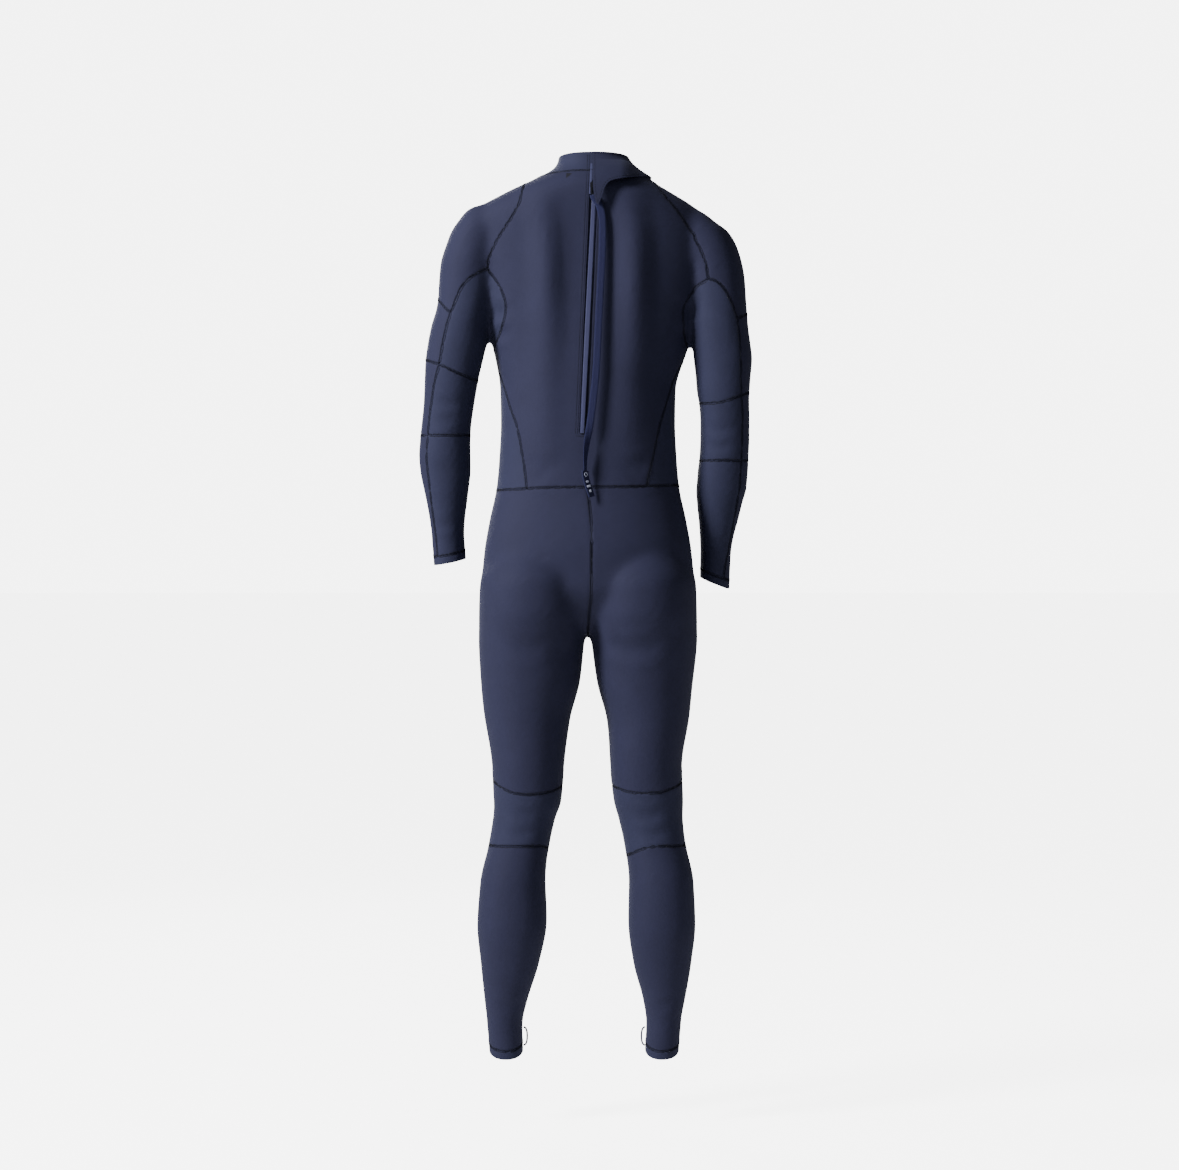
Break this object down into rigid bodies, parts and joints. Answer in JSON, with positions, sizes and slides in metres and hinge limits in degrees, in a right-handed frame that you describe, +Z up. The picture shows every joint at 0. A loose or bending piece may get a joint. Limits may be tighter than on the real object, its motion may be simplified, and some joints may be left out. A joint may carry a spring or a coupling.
{
  "type": "full wetsuit",
  "caption": "Full-length back-zip neoprene wetsuit, filled out as worn, with long sleeves and legs, neck flap, zip, pull leash and ankle loops",
  "frame": {"origin": "the middle of the neck opening, where the wearer's neck comes out", "axes": "+Z up, +Y the way the wearer faces (the zip is on the -Y side), +X the wearer's right"},
  "size_m": [0.5514, 0.2525, 1.5029],
  "materials": {
    "jersey": "navy nylon jersey laminated on 3 mm neoprene",
    "stretch_jersey": "softer navy stretch jersey on neoprene",
    "smooth_neoprene": "dark abrasion-resistant face on neoprene",
    "zip_tape": "woven polyester zip tape",
    "zip_coil": "acetal coil, dark",
    "painted_zinc": "die-cast zinc, dark enamel",
    "webbing": "navy polyester webbing",
    "hook_and_loop": "hook and loop tape",
    "printed_label": null
  },
  "bodies": {
    "suit": {"collar_panel": "stretch_jersey", "back_panel": "jersey", "front_panel": "jersey", "left_side_panel": "stretch_jersey", "right_side_panel": "stretch_jersey", "left_shoulder_panel": "jersey", "right_shoulder_panel": "jersey", "left_underarm_panel": "stretch_jersey", "right_underarm_panel": "stretch_jersey", "left_outer_sleeve_panel": "jersey", "right_outer_sleeve_panel": "jersey", "left_elbow_inner_panel": "stretch_jersey", "left_elbow_outer_panel": "jersey", "right_elbow_inner_panel": "stretch_jersey", "right_elbow_outer_panel": "jersey", "left_thigh_panel": "jersey", "right_thigh_panel": "jersey", "left_knee_back_panel": "stretch_jersey", "right_knee_back_panel": "stretch_jersey", "left_knee_pad": "smooth_neoprene", "right_knee_pad": "smooth_neoprene", "left_zip_tape": "zip_tape", "right_zip_tape": "zip_tape", "left_zip_coil": "zip_coil", "right_zip_coil": "zip_coil", "left_top_stop": "painted_zinc", "right_top_stop": "painted_zinc", "bottom_stop": "painted_zinc", "zip_guard_panel": "smooth_neoprene", "collar_loop_patch": "hook_and_loop", "size_label": "printed_label"},
    "left_forearm": {"left_forearm_inner_panel": "stretch_jersey", "left_forearm_outer_panel": "jersey", "left_wrist_hem": "stretch_jersey"},
    "left_shin": {"left_calf_panel": "jersey", "left_ankle_hem": "stretch_jersey", "left_ankle_pull_loop": "webbing"},
    "right_forearm": {"right_forearm_inner_panel": "stretch_jersey", "right_forearm_outer_panel": "jersey", "right_wrist_hem": "stretch_jersey"},
    "right_shin": {"right_calf_panel": "jersey", "right_ankle_hem": "stretch_jersey", "right_ankle_pull_loop": "webbing"},
    "slider": {"slider_body": "painted_zinc"},
    "pull_tab": {"pull_tab": "painted_zinc"},
    "leash": {"leash": "webbing", "leash_end_tab": "printed_label"},
    "neck_flap": {"neck_flap": "jersey", "flap_hook_patch": "hook_and_loop"}
  },
  "joints": [
    {"name": "left_elbow_bend", "type": "hinge", "parent": "suit", "child": "left_forearm", "pos_m": [-0.239, -0.008, -0.41], "axis": [1, 0, 0], "range_deg": [0, 90], "deforming": ["left_elbow_inner_panel", "left_elbow_outer_panel"]},
    {"name": "right_elbow_bend", "type": "hinge", "parent": "suit", "child": "right_forearm", "pos_m": [0.22, -0.006, -0.453], "axis": [1, 0, 0], "range_deg": [0, 90], "deforming": ["right_elbow_inner_panel", "right_elbow_outer_panel"]},
    {"name": "left_knee_bend", "type": "hinge", "parent": "suit", "child": "left_shin", "pos_m": [-0.114, -0.027, -1.096], "axis": [-1, 0, 0], "range_deg": [0, 90], "deforming": ["left_knee_back_panel", "left_knee_pad"]},
    {"name": "right_knee_bend", "type": "hinge", "parent": "suit", "child": "right_shin", "pos_m": [0.096, -0.027, -1.096], "axis": [-1, 0, 0], "range_deg": [0, 90], "deforming": ["right_knee_back_panel", "right_knee_pad"]},
    {"name": "zip_slide", "type": "slide", "parent": "suit", "child": "slider", "axis": [-0.0436, 0.0095, -0.999], "range_m": [0, 0.385]},
    {"name": "pull_tab_pivot", "type": "hinge", "parent": "slider", "child": "pull_tab", "pos_m": [0.00148, -0.10144, -0.05802], "axis": [-0.999, -0.0002, 0.0436], "range_deg": [0, 4]},
    {"name": "leash_swing", "type": "hinge", "parent": "slider", "child": "leash", "pos_m": [0.00095, -0.10132, -0.07001], "axis": [-1, 0, 0], "range_deg": [0, 10]},
    {"name": "neck_flap_open", "type": "hinge", "parent": "suit", "child": "neck_flap", "pos_m": [0.078, -0.015, -0.015], "axis": [-0.6775, 0, 0.7355], "range_deg": [0, 110]}
  ],
  "couplings": [
    {"joint": "leash_swing", "follows": "zip_slide", "rad_per_m": 0.42}
  ]
}
